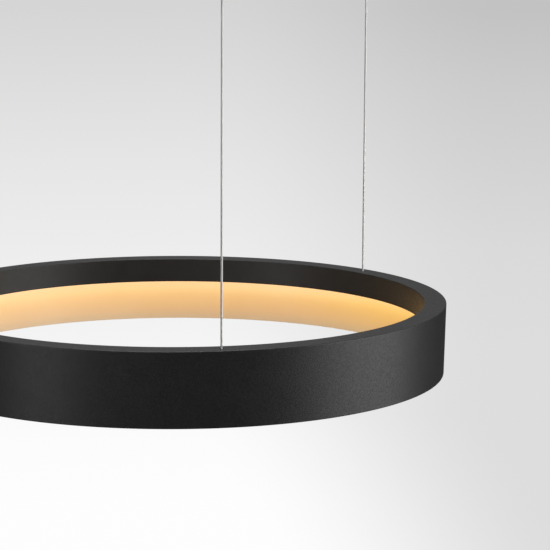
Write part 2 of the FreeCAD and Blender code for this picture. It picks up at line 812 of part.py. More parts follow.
# Ceiling fixings, grippers and wires
for number, azimuth in enumerate(wire_azimuths, start=1):
    save(f"wire_anchor_{number}", turn(make_anchor(), azimuth))
    save(f"wire_end_{number}", at_wire(make_end_ball(), azimuth))
    save(f"suspension_wire_{number}", at_wire(rod(wire_d, wire_foot_z, head_top_z + wire_tail), azimuth))
    save(f"ceiling_base_{number}", at_wire(make_base(), azimuth))
    save(f"ceiling_cap_{number}", at_wire(make_cap(), azimuth))
    save(f"gripper_head_{number}", at_wire(make_head(), azimuth))
    save(f"gripper_barrel_{number}", at_wire(make_barrel(), azimuth))
    save(f"gripper_cage_{number}", at_wire(make_cage(), azimuth))
    save(f"gripper_balls_{number}", *[at_wire(ball, azimuth) for ball in make_grip_balls()])
    save(f"gripper_spring_{number}", at_wire(make_spring(), azimuth))
    save(f"release_sleeve_{number}", at_wire(make_release_sleeve(), azimuth))
save("cap_screws", *[at_wire(make_grub_screw(), a) for a in wire_azimuths])

# Ceiling rose
save("rose_plate", at_wire(make_rose_plate(), rose_azimuth))
save("rose_cover", at_wire(make_rose_cover(), rose_azimuth))
save("rose_screws", *[at_wire(make_side_screw(side), rose_azimuth) for side in (-1, 1)])
save("driver_case", at_wire(make_driver_case(), rose_azimuth))
save("driver_lid", at_wire(make_driver_lid(), rose_azimuth))
save("driver_board", at_wire(make_driver_board(), rose_azimuth))
save("driver_screws", *[at_wire(make_lug_screw(side), rose_azimuth) for side in (-1, 1)])
save("mains_terminal", at_wire(make_mains_terminal(), rose_azimuth))
save("terminal_screws", *[at_wire(screw, rose_azimuth) for screw in make_terminal_screws()])
save("entry_grommet", at_wire(make_entry_grommet(), rose_azimuth))
rose_gland = make_gland(rose_wall_t, -rose_height + rose_wall_t, -rose_height)
rose_gland.translate(gland_offset)
save("rose_gland", at_wire(rose_gland, rose_azimuth))
rose_nut = make_nut(-rose_height + rose_wall_t)
rose_nut.translate(gland_offset)
save("rose_gland_nut", at_wire(rose_nut, rose_azimuth))

spring_gap = (stem_foot_z - cage_top_z - 2 * seat_gap - spring_wire_d) / spring_turns - spring_wire_d
print(f"least gap between spring turns {spring_gap:.2f} mm")
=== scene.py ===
# Ring pendant lamp: a black coated ring with a white liner in painted glow, hung on three stranded wires
# from grippers and caps at the ceiling. Shapes are worked out in millimetres and written in metres.
import math

import bmesh
import bpy
import numpy as np
from mathutils import Matrix, Vector


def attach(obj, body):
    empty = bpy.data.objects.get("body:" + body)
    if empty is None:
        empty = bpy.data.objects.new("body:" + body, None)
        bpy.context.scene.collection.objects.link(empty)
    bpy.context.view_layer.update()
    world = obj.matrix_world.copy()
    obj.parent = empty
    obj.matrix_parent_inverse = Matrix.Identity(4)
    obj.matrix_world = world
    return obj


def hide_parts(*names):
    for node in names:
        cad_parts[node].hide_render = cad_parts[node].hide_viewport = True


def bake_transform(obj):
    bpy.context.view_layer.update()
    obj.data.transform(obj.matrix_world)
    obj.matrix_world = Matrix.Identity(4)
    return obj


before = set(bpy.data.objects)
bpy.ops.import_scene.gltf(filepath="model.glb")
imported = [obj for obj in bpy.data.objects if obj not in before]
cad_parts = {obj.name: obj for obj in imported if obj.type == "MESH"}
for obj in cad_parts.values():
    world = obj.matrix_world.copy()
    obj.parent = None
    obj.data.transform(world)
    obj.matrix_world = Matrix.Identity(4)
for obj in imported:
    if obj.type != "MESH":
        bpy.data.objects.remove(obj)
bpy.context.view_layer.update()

MM = 0.001

# Points of a rounded corner, and steps round a turned piece by its size
arc_steps = 4
corner_points = arc_steps + 3
ring_steps = 540
cover_steps = 360
rose_steps = 288
cap_steps = 144
base_steps = 96
small_steps = 72
hole_steps = 48
grub_hole_steps = 32

# Gaps in metres that a mesh closes, and the angle in degrees past which an edge is sharp
point_gap = 1e-7
cut_gap = 4e-6
sharp_angle = 32.0

# How far a cutter reaches past a wall, and how near the outside a ribbed or knurled row lies
through = 2.0
skin = 0.01

# Ring housing
ring_r = 200.0
foot_r = 198.9
rim_inner_r = 184.0
skirt_inner_r = 197.2
band_outer_r = 186.0
ledge_r = 187.0
rim_z = -280.0
channel_top_z = -283.0
ledge_z = -297.6
band_foot_z = -299.0
foot_z = -332.0
soft_edge = 0.6
foot_edge = 0.35

# Liner and opal cover
liner_inner_r = 196.35
liner_outer_r = 197.15
cover_inner_r = 186.3
cover_outer_r = 196.9
cover_foot_z = -297.5
cover_top_z = -289.5
cover_floor_t = 1.5
cover_wall_t = 1.0
cover_scatter = 1.0
chip_count = 96

# Wires
wire_circle_r = 192.0
wire_azimuths = (-90.0, 30.0, 150.0)
wire_r = 0.75
wire_foot_z = -287.0
wire_top_z = -7.5
wire_strands = 12
wire_lay = 14.0
rim_hole_r = 1.5
hole_flare = 0.06
wire_rows = 480
strand_columns = 6

# Ceiling fixing
base_r = 15.0
base_t = 4.0
ceiling_hole_r = 2.25
ceiling_sink_r = 4.5
cap_r = 16.5
cap_inner_r = 15.1
cap_top_z = -0.2
cap_floor_z = -13.0
cap_foot_z = -16.0
grub_z = -2.1
grub_r = 1.5
grub_hole_r = 1.53
grub_tip_r = 13.8
grub_length = 2.4
grub_key_r = 0.84375
grub_key_floor = 1.08
screw_chamfer = 0.3

# Wire gripper
pivot_z = -11.9
head_ball_r = 6.5
head_socket_r = 6.58
head_top_z = -8.9
head_chamfer = 0.3
head_joint = 0.02
barrel_top_z = -16.5
stem_foot_z = -20.5
stem_r = 3.22
wire_bore_r = 1.0
barrel_r = 4.5
barrel_bore_r = 3.25
cone_top_z = -29.0
nose_top_z = -36.4
nose_r = 2.2
barrel_foot_z = -41.0
barrel_chamfer = 0.8
nose_chamfer = 0.2
mouth_chamfer = 0.25
knurl_top_z = -27.0
knurl_foot_z = -35.5
knurl_count = 30
knurl_depth = 0.22
knurl_rows = 46
knurl_columns = 5
turned_line = 0.12
sleeve_r = 2.1
sleeve_flange_r = 2.3
sleeve_flange_t = 0.8
sleeve_top_z = -34.07
collar_r = 3.4
collar_top_z = -43.8
collar_foot_z = -45.8
collar_ridges = 28
collar_ridge_depth = 0.16
collar_rows = 9
collar_columns = 6
collar_chamfer = 0.2
collar_rib_margin = 0.25
spring_wire_r = 0.25
spring_mean_r = 2.8
spring_turns = 5
spring_top_z = -20.85
spring_foot_z = -27.22
spring_rows = 40
spring_columns = 12

# Rose
rose_azimuth = wire_azimuths[2]
rose_r = 59.986
rose_inner_r = 58.486
rose_foot_z = -30.0
rose_wall_t = 1.5
rose_mouth_r = 6.116
gland_offset = (-4.1956, 39.9190)
gland_turn = 12.0
gland_hole_r = 3.65
side_screw_z = -9.0
side_hole_r = 1.65
side_screw_r = 1.5
side_screw_length = 4.6
side_head_r = 2.8
side_head_t = 1.6
side_dome_foot = 0.56
side_dome_power = 2.2
side_dome_rows = 7
side_flat_r = 1.8225
side_key_r = 1.35
side_key_floor = 0.48
grommet_place = (-39.931, -24.952)
grommet_r = 6.0
grommet_bore_r = 4.0
grommet_flange_r = 7.5
grommet_foot_z = -3.2
plate_foot_z = -2.0

# Cord glands
gland_body_r = 5.0
gland_body_h = 7.0
gland_dome = 2.45
gland_thread_r = 3.5
gland_bore_r = 1.6
gland_tail = 3.2
gland_ribs = 24
gland_rib_depth = 0.14
gland_rib_fade = 0.6
gland_rib_foot = 0.3


# Shapes: outlines of (radius, height) pairs, and surfaces on two-parameter grids


def rounded(corners, radii, steps=arc_steps):
    """Closed outline with an arc in each corner.

    With h half the angle between a corner's two sides, the arc's ends lie radius / tan(h) from
    the corner along the sides, and its centre radius / sin(h) along the bisector; the arc's
    points are at equal angles between the ends. One more point stands beside each end, by a
    share of the radius, so that a long side shades flat. radii holds one radius for each
    corner, in the same order, or one for all.
    """
    side_share = 0.6
    corner = np.array(corners, float)[:, None, :]
    radius = np.zeros((len(corners), 1, 1)) + np.reshape(radii, (-1, 1, 1))
    back = np.roll(corner, 1, axis=0) - corner
    ahead = np.roll(corner, -1, axis=0) - corner
    back /= np.linalg.norm(back, axis=2, keepdims=True)
    ahead /= np.linalg.norm(ahead, axis=2, keepdims=True)
    half = np.arccos(np.clip((back * ahead).sum(2, keepdims=True), -1, 1)) / 2
    reach = radius / np.tan(half)
    bisector = (back + ahead) / np.linalg.norm(back + ahead, axis=2, keepdims=True)
    centre = corner + bisector * radius / np.sin(half)
    first = corner + back * reach - centre
    last = corner + ahead * reach - centre
    start = np.arctan2(first[..., 1:], first[..., :1])
    sweep = np.arctan2(last[..., 1:], last[..., :1]) - start
    sweep = (sweep + np.pi) % (2 * np.pi) - np.pi
    angle = start + sweep * np.linspace(0, 1, steps + 1)[None, :, None]
    arc = centre + radius * np.concatenate([np.cos(angle), np.sin(angle)], axis=2)
    beside = reach + side_share * radius
    points = np.concatenate([corner + back * beside, arc, corner + ahead * beside], axis=1)
    return points.reshape(-1, 2)


def sphere_arc(radius, centre_z, z_from, z_to, steps=14):
    """Outline points on a sphere: heights at equal polar angles from one level to another."""
    first, last = (np.arcsin((z - centre_z) / radius) for z in (z_from, z_to))
    angle = np.linspace(first, last, steps + 1)
    return np.stack([radius * np.cos(angle), centre_z + radius * np.sin(angle)], axis=1)


def turned(outline, steps, relief=None):
    """Surface of revolution: each (radius, height) goes round the upright axis in equal steps.

    relief(radius, height, angle) gives the radius where flats, ridges or a knurl change it.
    """
    outline = np.asarray(outline, float)
    angle = np.arange(steps) * (2 * np.pi / steps)
    radius = outline[:, :1] + 0 * angle
    height = outline[:, 1:] + 0 * angle
    if relief is not None:
        radius = relief(radius, height, angle)
    return np.stack([radius * np.cos(angle), radius * np.sin(angle), height], axis=2)


def keyed(key_r):
    """Relief that makes the rows at the key's radius a hexagon and leaves the others round.

    The hexagon's corners lie on the circle: cos(30) / cos(angle from a flat's middle).
    """
    sixth = np.pi / 3

    def flats(radius, height, angle):
        """Radius of the hexagon in the key's rows, and the row's own elsewhere."""
        hexagon = radius * np.cos(sixth / 2) / np.cos(angle % sixth - sixth / 2)
        return np.where(np.isclose(radius, key_r), hexagon, radius)

    return flats


def turn_z(grid, degrees):
    """Points turned about the upright axis."""
    c, s = math.cos(math.radians(degrees)), math.sin(math.radians(degrees))
    return grid @ np.array([[c, s, 0], [-s, c, 0], [0, 0, 1]])


def laid(grid, z):
    """Points turned a quarter about the Y axis, so that up points along X, and raised to a height."""
    return grid @ np.array([[0, 0, -1], [0, 1, 0], [1, 0, 0]], float) + np.array([0, 0, z])


def at_wire(grid, azimuth):
    """Points made about the upright axis, moved out to the wire circle and turned to an azimuth."""
    return turn_z(grid + np.array([wire_circle_r, 0, 0]), azimuth)


def place_matrix(azimuth):
    """The same move for a mesh in metres."""
    return Matrix.Rotation(math.radians(azimuth), 4, "Z") @ Matrix.Translation((wire_circle_r * MM, 0, 0))


def axis_place(azimuth):
    """X and Y of a wire's axis in metres."""
    return (at_wire(np.zeros(3), azimuth)[:2] * MM).tolist()


def weld(mesh, gap):
    """Merges points nearer than a gap in metres, drops faces without area, turns the rest outwards."""
    work = bmesh.new()
    work.from_mesh(mesh)
    bmesh.ops.remove_doubles(work, verts=work.verts, dist=gap)
    bmesh.ops.dissolve_degenerate(work, edges=work.edges, dist=gap / 10)
    bmesh.ops.recalc_face_normals(work, faces=work.faces)
    work.to_mesh(mesh)
    work.free()


def surface(name, *grids, ends="wrap"):
    """Object whose mesh joins each grid's neighbouring points into quads.

    The second parameter always closes on itself. The first does too with ends "wrap". With
    "poles" the first and last rows meet in their own middles, and with "open" they stay edges.
    """
    points, faces, base = [], [], 0
    for grid in grids:
        if ends == "poles":
            caps = [np.repeat(row.mean(0)[None], len(row), 0)[None] for row in (grid[0], grid[-1])]
            grid = np.concatenate([caps[0], grid, caps[1]])
        rows, columns = grid.shape[:2]
        index = base + np.arange(rows * columns).reshape(rows, columns)
        if ends == "wrap":
            index = np.concatenate([index, index[:1]])
        index = np.concatenate([index, index[:, :1]], axis=1)
        quads = np.stack([index[:-1, :-1], index[:-1, 1:], index[1:, 1:], index[1:, :-1]], axis=2)
        points.append(grid.reshape(-1, 3))
        faces.append(quads.reshape(-1, 4))
        base += rows * columns
    mesh = bpy.data.meshes.new(name)
    mesh.from_pydata(np.concatenate(points) * MM, [], np.concatenate(faces).tolist())
    weld(mesh, point_gap)
    piece = bpy.data.objects.new(name, mesh)
    bpy.context.scene.collection.objects.link(piece)
    return piece


def cut(piece, *cutters):
    """Takes closed turned grids out of a piece with an exact boolean."""
    tool = surface("cutter", *cutters)
    modifier = piece.modifiers.new("holes", "BOOLEAN")
    modifier.operation = "DIFFERENCE"
    modifier.solver = "EXACT"
    modifier.object = tool
    evaluated = piece.evaluated_get(bpy.context.evaluated_depsgraph_get())
    mesh = bpy.data.meshes.new_from_object(evaluated)
    piece.modifiers.clear()
    weld(mesh, cut_gap)
    piece.data = mesh
    bpy.data.objects.remove(tool)


def plug(radius, z_low, z_high, steps=hole_steps):
    """Grid of a plain round cutter, whose first and last rows lie on its axis."""
    return turned([(0, z_low), (radius, z_low), (radius, z_high), (0, z_high)], steps)


def settle(piece, material, slot, body, *nodes):
    """Finishes a piece: smooth faces with sharp corners, its material, its nodes and its body."""
    piece.data.shade_smooth()
    piece.data.set_sharp_from_angle(angle=math.radians(sharp_angle))
    piece.data.materials.clear()
    piece.data.materials.append(material)
    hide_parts(*nodes)
    if body:
        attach(piece, body)


# Materials: every pattern is on Object coordinates, which are metres here

# Level direction to the picture's right, across which the liner's painted glow and the backdrop change
view_right = (0.980254, -0.197641, 0.0)


def node(tree, kind, inputs=None, **settings):
    """New shader node with its settings, whose inputs are linked sockets or constants."""
    made = tree.nodes.new("ShaderNode" + kind)
    for key, value in settings.items():
        setattr(made, key, value)
    for key, value in (inputs or {}).items():
        if isinstance(value, bpy.types.NodeSocket):
            tree.links.new(value, made.inputs[key])
        else:
            made.inputs[key].default_value = value
    return made.outputs


def mapped(tree, value, start, end, first=0.0, last=1.0, kind="LINEAR"):
    """A number that goes from first to last as the value goes from start to end."""
    return node(tree, "MapRange", {"Value": value, "From Min": start, "From Max": end,
                                   "To Min": first, "To Max": last}, interpolation_type=kind)[0]


def calculated(tree, operation, *values):
    """Result of a Math node on linked sockets or constants."""
    return node(tree, "Math", dict(enumerate(values)), operation=operation)[0]


def to_the_right(tree, point):
    """Distance of a point to the picture's right of the lamp's axis, in metres."""
    return node(tree, "VectorMath", {0: point, 1: view_right}, operation="DOT_PRODUCT")["Value"]


def noise(tree, point, size, stretch=(1, 1, 1), detail=3.0):
    """Noise of a feature size in millimetres, stretched along the axes."""
    scaled = node(tree, "Mapping", {"Vector": point, "Scale": stretch})[0]
    return node(tree, "TexNoise", {"Vector": scaled, "Scale": 1 / (size * MM), "Detail": detail})[0]


def between(tree, factor, low, high):
    """A number that goes from low to high as the noise goes over its usual range."""
    return mapped(tree, factor, 0.3, 0.7, low, high)


def blend_colours(tree, factor, first, second):
    """Mix of two colours."""
    made = tree.nodes.new("ShaderNodeMix")
    made.data_type = "RGBA"
    for socket, value in ((made.inputs[0], factor), (made.inputs[6], first), (made.inputs[7], second)):
        if isinstance(value, bpy.types.NodeSocket):
            tree.links.new(value, socket)
        elif socket.type == "RGBA":
            socket.default_value = (*value, 1)
        else:
            socket.default_value = value
    return made.outputs[2]


def finish(name, dark, pale, mottle, grain, roughness, depth, stretch=(1, 1, 1), **sockets):
    """Base finish: two colours mottled by a noise, and a finer grain in roughness and bump.

    mottle and grain are feature sizes and depth the height of the grain, in millimetres.
    Returns the material, its node tree, its shader and the Object coordinates.
    """
    material = bpy.data.materials.new(name)
    material.use_nodes = True
    tree = material.node_tree
    shader = tree.nodes["Principled BSDF"]
    for key, value in sockets.items():
        shader.inputs[key.replace("_", " ")].default_value = value
    point = node(tree, "TexCoord")["Object"]
    patches = between(tree, noise(tree, point, mottle, stretch), 0, 1)
    fine = noise(tree, point, grain, stretch, detail=2.0)
    tree.links.new(blend_colours(tree, patches, dark, pale), shader.inputs["Base Color"])
    tree.links.new(between(tree, fine, *roughness), shader.inputs["Roughness"])
    bump = node(tree, "Bump", {"Height": fine, "Strength": 1.0, "Distance": depth * MM})[0]
    tree.links.new(bump, shader.inputs["Normal"])
    return material, tree, shader, point


coat, *_ = finish("black_powder_coat", (0.0154, 0.0152, 0.0150), (0.0196, 0.0194, 0.0192),
                  mottle=14, grain=1.8, roughness=(0.40, 0.50), depth=0.055)

nickel, *_ = finish("satin_nickel", (0.60, 0.585, 0.56), (0.70, 0.685, 0.66),
                    mottle=4, grain=2.0, roughness=(0.26, 0.36), depth=0.003,
                    stretch=(0.08, 0.08, 16), Metallic=1.0)

zinc, *_ = finish("zinc_plate", (0.60, 0.62, 0.66), (0.74, 0.73, 0.69),
                  mottle=5, grain=0.8, roughness=(0.30, 0.45), depth=0.006, Metallic=1.0)

turned_steel, *_ = finish("machined_steel", (0.52, 0.53, 0.54), (0.64, 0.65, 0.66),
                          mottle=4, grain=1.2, roughness=(0.28, 0.42), depth=0.006,
                          stretch=(1, 1, 8), Metallic=1.0)

black_oxide, *_ = finish("black_oxide", (0.020, 0.020, 0.022), (0.045, 0.044, 0.042),
                         mottle=2, grain=0.4, roughness=(0.32, 0.46), depth=0.005, Metallic=0.6)

black_nylon, *_ = finish("black_nylon", (0.018, 0.018, 0.018), (0.028, 0.028, 0.028),
                         mottle=5, grain=0.35, roughness=(0.42, 0.56), depth=0.012)

grey_nylon, *_ = finish("grey_nylon", (0.66, 0.66, 0.64), (0.76, 0.76, 0.73),
                        mottle=6, grain=0.5, roughness=(0.40, 0.52), depth=0.010)

white_moulding, *_ = finish("white_moulding", (0.76, 0.76, 0.74), (0.84, 0.84, 0.82),
                            mottle=12, grain=0.6, roughness=(0.42, 0.55), depth=0.012)

rubber, *_ = finish("soft_rubber", (0.030, 0.030, 0.031), (0.050, 0.049, 0.048),
                    mottle=3, grain=0.3, roughness=(0.66, 0.80), depth=0.015)

brass, *_ = finish("turned_brass", (0.62, 0.43, 0.17), (0.76, 0.56, 0.26),
                   mottle=2, grain=1.0, roughness=(0.22, 0.34), depth=0.004,
                   stretch=(1, 1, 10), Metallic=1.0)

tinned, *_ = finish("tinned_copper", (0.62, 0.59, 0.54), (0.76, 0.74, 0.70),
                    mottle=0.8, grain=0.3, roughness=(0.26, 0.42), depth=0.004, Metallic=1.0)

aluminium, *_ = finish("rolled_aluminium", (0.62, 0.62, 0.63), (0.76, 0.76, 0.77),
                       mottle=8, grain=1.0, roughness=(0.32, 0.48), depth=0.006,
                       stretch=(1, 1, 3), Metallic=1.0)

strip_mask, *_ = finish("solder_mask_white", (0.78, 0.78, 0.75), (0.86, 0.86, 0.84),
                        mottle=4, grain=0.5, roughness=(0.30, 0.42), depth=0.006)

resistor_body, *_ = finish("resistor_body", (0.018, 0.018, 0.018), (0.040, 0.040, 0.040),
                           mottle=0.6, grain=0.2, roughness=(0.35, 0.50), depth=0.004)

board, *_ = finish("circuit_board", (0.030, 0.140, 0.055), (0.075, 0.260, 0.110),
                   mottle=1.6, grain=0.4, roughness=(0.28, 0.42), depth=0.008)

rope_steel, *_ = finish("stranded_steel", (0.75, 0.75, 0.74), (0.83, 0.83, 0.82),
                        mottle=3, grain=0.25, roughness=(0.38, 0.50), depth=0.004, Metallic=1.0)

spring_steel, *_ = finish("spring_steel", (0.46, 0.46, 0.46), (0.58, 0.58, 0.57),
                          mottle=1.2, grain=0.3, roughness=(0.24, 0.36), depth=0.003, Metallic=1.0)


def ramp(tree, factor, stops):
    """Colour ramp through (position, colour) stops."""
    made = tree.nodes.new("ShaderNodeValToRGB")
    band = made.color_ramp
    for position, colour in stops[1:-1]:
        band.elements.new(position).color = (*colour, 1)
    band.elements[0].position, band.elements[0].color = stops[0][0], (*stops[0][1], 1)
    band.elements[-1].position, band.elements[-1].color = stops[-1][0], (*stops[-1][1], 1)
    tree.links.new(factor, made.inputs[0])
    return made.outputs[0]


def grey_ramp(tree, factor, *stops):
    """The same through (position, grey) stops."""
    return ramp(tree, factor, [(position, (grey, grey, grey)) for position, grey in stops])


def shine(tree, shader, colour, strength=1.0):
    """Gives a shader its own light."""
    tree.links.new(colour, shader.inputs["Emission Color"])
    shader.inputs["Emission Strength"].default_value = strength


def painted_glow_liner():
    """White film with a painted glow: painted light that stands in for the hidden LEDs' light on it, and
    fades from the channel down to the ring's foot.

    It turns more golden between two distances to the right of the lamp's axis, in metres: painted shade,
    with less white light towards the picture's right.
    """
    golden_from, golden_to = 0.085, 0.155
    made, tree, shader, point = finish("painted_glow_white_film", (0.66, 0.60, 0.48), (0.70, 0.64, 0.52),
                                       mottle=30, grain=0.8, roughness=(0.46, 0.56), depth=0.002,
                                       Specular_IOR_Level=0.25)
    # Painted light: the hidden LEDs' glow on the film, fading from the channel down to the foot
    height = node(tree, "SeparateXYZ", {"Vector": point})["Z"]
    drop = mapped(tree, height, ledge_z * MM, foot_z * MM)
    warm = ramp(tree, drop, [
        (0.0, (0.73, 0.46, 0.225)),
        (0.11, (0.72, 0.44, 0.205)),
        (0.28, (0.68, 0.385, 0.105)),
        (0.44, (0.63, 0.315, 0.062)),
        (0.78, (0.48, 0.235, 0.060)),
        (1.0, (0.29, 0.165, 0.063)),
    ])
    golden = ramp(tree, drop, [
        (0.0, (0.73, 0.46, 0.180)),
        (0.11, (0.72, 0.425, 0.140)),
        (0.28, (0.68, 0.360, 0.020)),
        (0.44, (0.63, 0.302, 0.004)),
        (0.78, (0.48, 0.233, 0.025)),
        (1.0, (0.29, 0.165, 0.050)),
    ])
    # Painted shade: towards the picture's right there is less white light, so the glow turns golden
    share = mapped(tree, to_the_right(tree, point), golden_from, golden_to)
    shine(tree, shader, blend_colours(tree, share, warm, golden))
    return made


def lit_opal():
    """Opal cover with a warm glow, a little brighter under each chip.

    The cosine of chip count times azimuth is -1 under the chips and 1 midway between them.
    """
    made, tree, shader, point = finish("lit_opal", (0.86, 0.82, 0.72), (0.90, 0.87, 0.78),
                                       mottle=8, grain=0.5, roughness=(0.30, 0.40), depth=0.004,
                                       Subsurface_Weight=0.2)
    shader.inputs["Subsurface Scale"].default_value = cover_scatter * MM
    place = node(tree, "SeparateXYZ", {"Vector": point})
    azimuth = calculated(tree, "ARCTAN2", place["Y"], place["X"])
    wave = calculated(tree, "COSINE", calculated(tree, "MULTIPLY", azimuth, float(chip_count)))
    share = mapped(tree, wave, -1.0, 1.0)
    shine(tree, shader, blend_colours(tree, share, (1.0, 0.80, 0.47), (0.88, 0.66, 0.34)))
    return made


def lit_phosphor():
    """Yellow phosphor of the chips, lit."""
    made, tree, shader, point = finish("lit_phosphor", (0.80, 0.60, 0.16), (0.90, 0.72, 0.24),
                                       mottle=0.7, grain=0.15, roughness=(0.35, 0.50), depth=0.004)
    patches = between(tree, noise(tree, point, size=0.9), 0, 1)
    glow = blend_colours(tree, patches, (1.0, 0.76, 0.38), (1.0, 0.84, 0.52))
    shine(tree, shader, glow, strength=1.5)
    return made


# The liner's film carries painted LED light; the opal cover and the chips are the lamp's own light
film = painted_glow_liner()
opal = lit_opal()
phosphor = lit_phosphor()

# CAD nodes that keep their own shape
kept = {
    aluminium: ["led_carrier"],
    strip_mask: ["led_strip"],
    phosphor: ["led_chips"],
    resistor_body: ["strip_resistors"],
    zinc: ["carrier_screws", "driver_screws", "terminal_screws", "rose_plate"],
    black_nylon: ["ring_gland_nut", "rose_gland_nut"],
    grey_nylon: ["feed_terminal", "mains_terminal"],
    tinned: ["feed_pins"],
    turned_steel: ["wire_anchor_1", "wire_anchor_2", "wire_anchor_3"],
    spring_steel: ["wire_end_1", "wire_end_2", "wire_end_3",
                   "gripper_balls_1", "gripper_balls_2", "gripper_balls_3"],
    brass: ["gripper_cage_1", "gripper_cage_2", "gripper_cage_3"],
    white_moulding: ["driver_case", "driver_lid"],
    board: ["driver_board"],
}
for material, names in kept.items():
    for name in names:
        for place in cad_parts[name].material_slots:
            place.material = material


# Ring


def make_housing():
    """Rolled profile turned about the lamp's axis, with the wires' flared holes and the gland's."""
    outline = rounded([
        (foot_r, foot_z), (ring_r, rim_z), (rim_inner_r, rim_z), (rim_inner_r, band_foot_z),
        (ledge_r, band_foot_z), (ledge_r, ledge_z), (band_outer_r, ledge_z),
        (band_outer_r, channel_top_z), (skirt_inner_r, channel_top_z), (skirt_inner_r, foot_z),
    ], [foot_edge, soft_edge, soft_edge, foot_edge, 0.2, 0.2, 0.2, 0.4, 0.4, 0.3])
    housing = surface("housing", turned(outline, ring_steps))
    flared = turned([(0, channel_top_z - through), (rim_hole_r, channel_top_z - through),
                     (rim_hole_r, rim_z - hole_flare), (rim_hole_r + 2 * hole_flare, rim_z + hole_flare),
                     (0, rim_z + hole_flare)], hole_steps)
    holes = [at_wire(flared, azimuth) for azimuth in wire_azimuths]
    gland = plug(gland_hole_r, channel_top_z - through, rim_z + through)
    cut(housing, *holes, at_wire(gland, rose_azimuth + gland_turn))
    settle(housing, coat, "black_coating", "ring", "ring_housing")


def make_liner():
    """Thin hoop against the outer wall."""
    outline = rounded([(liner_inner_r, foot_z), (liner_outer_r, foot_z),
                       (liner_outer_r, ledge_z), (liner_inner_r, ledge_z)], 0.1, steps=2)
    hoop = surface("liner_face_painted_glow", turned(outline, ring_steps))
    settle(hoop, film, "white_liner", "ring", "reflector_liner")


def make_cover():
    """Hoop of U section: a floor and two walls."""
    floor = cover_foot_z + cover_floor_t
    inner, outer = cover_inner_r + cover_wall_t, cover_outer_r - cover_wall_t
    outline = rounded([
        (cover_inner_r, cover_foot_z), (cover_outer_r, cover_foot_z), (cover_outer_r, cover_top_z),
        (outer, cover_top_z), (outer, floor), (inner, floor), (inner, cover_top_z),
        (cover_inner_r, cover_top_z),
    ], [0.4, 0.4, 0.15, 0.15, 0.3, 0.3, 0.15, 0.15], steps=3)
    hoop = surface("opal_cover", turned(outline, cover_steps))
    settle(hoop, opal, "opal_cover", "ring", "diffuser")


def gland_grid(tail):
    """Domed gland body that stands on a wall at height zero, with its thread below, turned as one."""
    outline = rounded([
        (gland_bore_r, -tail), (gland_thread_r, -tail), (gland_thread_r, 0), (gland_body_r, 0),
        (gland_body_r, gland_body_h), (gland_bore_r, gland_body_h),
    ], [0.2, 0.3, 0.1, 0.2, gland_dome, 0.3], steps=8)

    def ribs(radius, height, angle):
        """Fine grip ribs on the lower body: a cosine of the angle, faded out towards the dome."""
        fade = np.clip((gland_body_h - gland_dome - height) / gland_rib_fade, 0, 1)
        ribbed = (height > gland_rib_foot) & (radius > gland_body_r - skin)
        return radius - gland_rib_depth * fade * ribbed * (1 + np.cos(gland_ribs * angle)) / 2

    return turned(outline, cap_steps, ribs)


def make_glands():
    """One gland on the rim and one under the rose, which points down."""
    ring_wall = rim_z - channel_top_z
    up = gland_grid(ring_wall + gland_tail) + np.array([0, 0, rim_z])
    on_rim = surface("rim_gland", at_wire(up, rose_azimuth + gland_turn))
    settle(on_rim, black_nylon, "black_nylon", "ring", "ring_gland")
    down = gland_grid(rose_wall_t + gland_tail) * np.array([1, 1, -1])
    down = down + np.array([*gland_offset, rose_foot_z])
    under_rose = surface("rose_cord_gland", at_wire(down, rose_azimuth))
    settle(under_rose, black_nylon, "black_nylon", "root", "rose_gland")


# Wires


def make_wire(number, azimuth):
    """Rope of round strands laid round a core, each touching the next.

    With n strands, a strand's radius is s = R / (1 + 1 / sin(pi / n)) and its middle lies at
    c = R - s from the axis. Across the axis its circle gives the radius
    c cos(a) + sqrt(s * s - (c sin(a))^2), a being the angle from its middle; the section turns
    once in each lay length along the rope.
    """
    sector = 2 * np.pi / wire_strands
    strand = wire_r / (1 + 1 / math.sin(sector / 2))
    middle = wire_r - strand
    columns = strand_columns * wire_strands
    around = np.arange(columns) * (2 * np.pi / columns)
    off = (around + sector / 2) % sector - sector / 2
    root = np.sqrt(np.clip(strand**2 - (middle * np.sin(off)) ** 2, 0, None))
    radius = middle * np.cos(off) + root
    height = np.linspace(wire_foot_z, wire_top_z, wire_rows)[:, None]
    angle = around + 2 * np.pi * height / wire_lay
    grid = np.stack([radius * np.cos(angle), radius * np.sin(angle), height + 0 * angle], axis=2)
    wire = surface(f"wire_rope_{number}", at_wire(grid, azimuth), ends="poles")
    settle(wire, rope_steel, "wire_steel", None, f"suspension_wire_{number}")
    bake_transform(wire)


# Ceiling fixing and gripper


def make_base(number, azimuth):
    """Turned disc with a countersunk hole for the ceiling screw."""
    sink = ceiling_sink_r - ceiling_hole_r
    outline = rounded([
        (ceiling_hole_r, 0), (ceiling_hole_r, sink - base_t), (ceiling_sink_r, -base_t),
        (base_r, -base_t), (base_r, 0),
    ], [0.2, 0.1, 0.2, 0.3, 0.3])
    disc = surface(f"fixing_disc_{number}", at_wire(turned(outline, base_steps), azimuth))
    settle(disc, turned_steel, "anchor_steel", "root", f"ceiling_base_{number}")


def make_cap(number, azimuth):
    """Cup with a ball socket through its floor, and a small side hole for its grub screw.

    The first and last rounded corners only give their sides a direction, and are left out.
    """
    socket = sphere_arc(head_socket_r, pivot_z, cap_foot_z, cap_floor_z)
    outline = np.concatenate([
        socket,
        rounded([
            (head_socket_r, cap_floor_z), (cap_inner_r, cap_floor_z), (cap_inner_r, cap_top_z),
            (cap_r, cap_top_z), (cap_r, cap_foot_z), (0, cap_foot_z),
        ], [0, 0.5, 0.25, 0.25, soft_edge, 0])[corner_points:-corner_points],
    ])
    cup = surface(f"fixing_cap_{number}", turned(outline, cap_steps))
    hole = plug(grub_hole_r, cap_inner_r - through, cap_r + through, grub_hole_steps)
    cut(cup, laid(hole, grub_z))
    cup.data.transform(place_matrix(azimuth))
    settle(cup, coat, "black_coating", "root", f"ceiling_cap_{number}")


